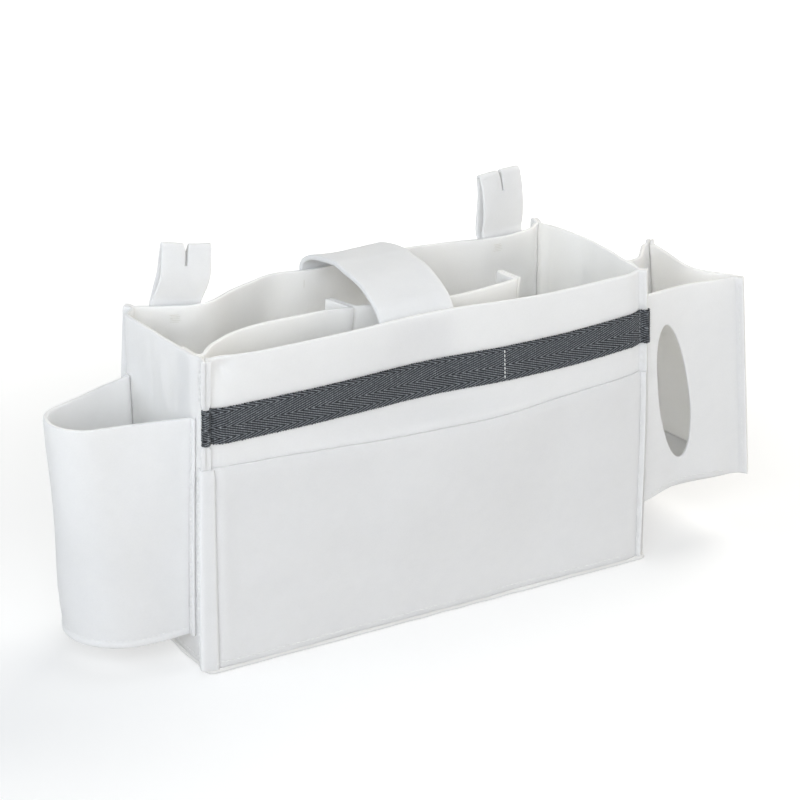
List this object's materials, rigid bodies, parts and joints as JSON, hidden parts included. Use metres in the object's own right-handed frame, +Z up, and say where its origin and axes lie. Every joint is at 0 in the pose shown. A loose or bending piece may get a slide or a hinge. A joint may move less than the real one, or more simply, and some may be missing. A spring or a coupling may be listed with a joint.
{
  "type": "bedside caddy",
  "caption": "Soft white fabric caddy: open divided box with a carrying strap, hanging loops, a cup pocket, a tissue pocket with an oval hole, a front pocket and a dark webbing band.",
  "frame": {"origin": "centre of the main box's base panel, on the surface it stands on", "axes": "+X along the box towards the tissue pocket, +Y from the front pocket to the back panel, +Z up"},
  "size_m": [0.5458, 0.149, 0.2738],
  "materials": {
    "padded_fabric": "soft white padded fabric, matt",
    "webbing": "charcoal herringbone webbing"
  },
  "bodies": {
    "root": {"front_panel": "padded_fabric", "back_panel": "padded_fabric", "left_end_panel": "padded_fabric", "right_end_panel": "padded_fabric", "base_panel": "padded_fabric", "front_pocket_panel": "padded_fabric", "front_webbing": "webbing", "cup_pocket_wall": "padded_fabric", "cup_pocket_base": "padded_fabric", "tissue_front_panel": "padded_fabric", "tissue_end_panel": "padded_fabric", "tissue_back_panel": "padded_fabric", "tissue_base_panel": "padded_fabric", "divider_left_panel": "padded_fabric", "divider_right_panel": "padded_fabric", "handle_strap": "padded_fabric", "loop_anchor_left": "padded_fabric", "loop_anchor_right": "padded_fabric"},
    "loop_left": {"hanging_loop_left": "padded_fabric"},
    "loop_right": {"hanging_loop_right": "padded_fabric"}
  },
  "joints": [
    {"name": "loop_left_fold", "type": "hinge", "parent": "root", "child": "loop_left", "pos_m": [-0.14206, 0.04749, 0.2195], "axis": [0.9613, -0.2756, 0], "range_deg": [-100, 0]},
    {"name": "loop_right_fold", "type": "hinge", "parent": "root", "child": "loop_right", "pos_m": [0.132, 0.06242, 0.2195], "axis": [1, 0, 0], "range_deg": [-100, 0]}
  ]
}
